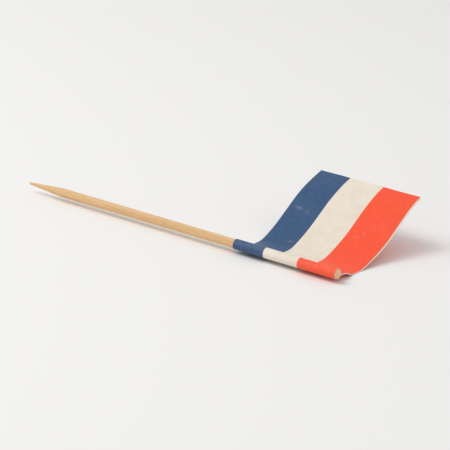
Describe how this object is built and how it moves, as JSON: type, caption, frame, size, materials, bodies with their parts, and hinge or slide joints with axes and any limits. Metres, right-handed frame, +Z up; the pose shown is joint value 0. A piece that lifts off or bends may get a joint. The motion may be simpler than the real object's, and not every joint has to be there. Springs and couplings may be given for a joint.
{
  "type": "flag toothpick",
  "caption": "Cocktail pick: a pointed round wooden stick with a small striped paper flag folded and glued round its blunt end, the paper lightly curled.",
  "frame": {"origin": "middle of the pick's footprint, on the surface it lies on", "axes": "+X along the stick from its point to its blunt end, +Y out to the flag's free edge, +Z up"},
  "size_m": [0.08, 0.0336, 0.011],
  "materials": {
    "birch_wood": "matte",
    "bare_paper": "matte",
    "blue_ink_on_paper": "satin",
    "red_ink_on_paper": "satin"
  },
  "bodies": {
    "root": {"wooden_stick": "birch_wood", "paper_flag": "bare_paper", "blue_print": "blue_ink_on_paper", "red_print": "red_ink_on_paper"}
  },
  "joints": []
}
